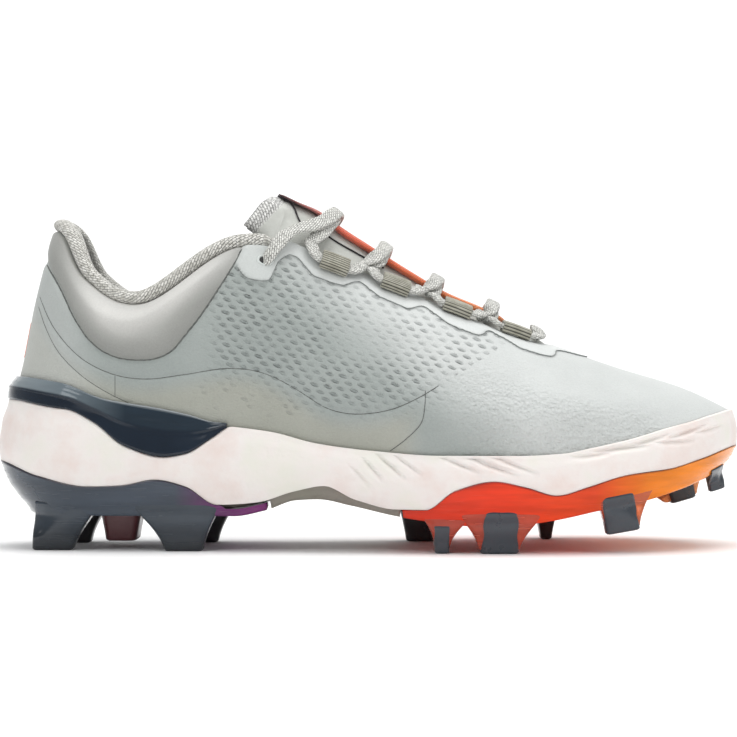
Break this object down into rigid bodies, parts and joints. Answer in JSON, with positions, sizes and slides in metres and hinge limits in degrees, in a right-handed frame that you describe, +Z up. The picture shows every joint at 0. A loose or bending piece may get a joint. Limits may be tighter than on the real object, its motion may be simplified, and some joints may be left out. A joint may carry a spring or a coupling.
{
  "type": "baseball cleat",
  "caption": "Low right baseball cleat: hollow fabric upper with padded collar, tongue, laces through webbing loops, foam midsole with heel clip, and two moulded stud plates.",
  "frame": {"origin": "on the floor under the middle of the shoe's box", "axes": "+X towards the toe, +Y towards the inner (medial) side, +Z up"},
  "size_m": [0.3, 0.106, 0.1441],
  "materials": {
    "upper": "matt engineered textile with a thin film, pale cool grey",
    "collar_binding": "mottled grey knit roll",
    "tongue": "padded light grey textile",
    "tongue_strip": "red to orange woven strip",
    "insole": "dark brushed textile",
    "midsole": "off-white moulded foam",
    "heel_clip": "glossy navy moulded plastic",
    "heel_plate": "glossy dark blue-grey translucent plastic",
    "forefoot_plate": "glossy translucent red to orange plastic",
    "studs": "dark moulded plastic",
    "lace": "flat woven lace, light grey",
    "lace_loops": "ribbed webbing, grey-olive"
  },
  "bodies": {
    "root": {"upper": "upper", "collar_binding": "collar_binding", "tongue": "tongue", "tongue_strip": "tongue_strip", "insole": "insole", "midsole": "midsole", "heel_clip": "heel_clip", "heel_plate": "heel_plate", "forefoot_plate": "forefoot_plate", "stud_heel_rear_lateral": "studs", "stud_heel_rear_medial": "studs", "stud_heel_front_lateral": "studs", "stud_heel_front_medial": "studs", "heel_bar": "studs", "stud_ball_rear_lateral": "studs", "stud_ball_rear_medial": "studs", "stud_ball_lateral": "studs", "stud_ball_medial": "studs", "stud_toe_lateral": "studs", "stud_toe_medial": "studs", "stud_toe_front": "studs", "lace_loop_lateral_1": "lace_loops", "lace_loop_lateral_2": "lace_loops", "lace_loop_lateral_3": "lace_loops", "lace_loop_lateral_4": "lace_loops", "lace_loop_medial_1": "lace_loops", "lace_loop_medial_2": "lace_loops", "lace_loop_medial_3": "lace_loops", "lace_loop_medial_4": "lace_loops", "lace_crossing_1": "lace", "lace_crossing_2": "lace", "lace_crossing_3": "lace", "lace_crossing_4": "lace", "lace_bar": "lace"}
  },
  "joints": []
}
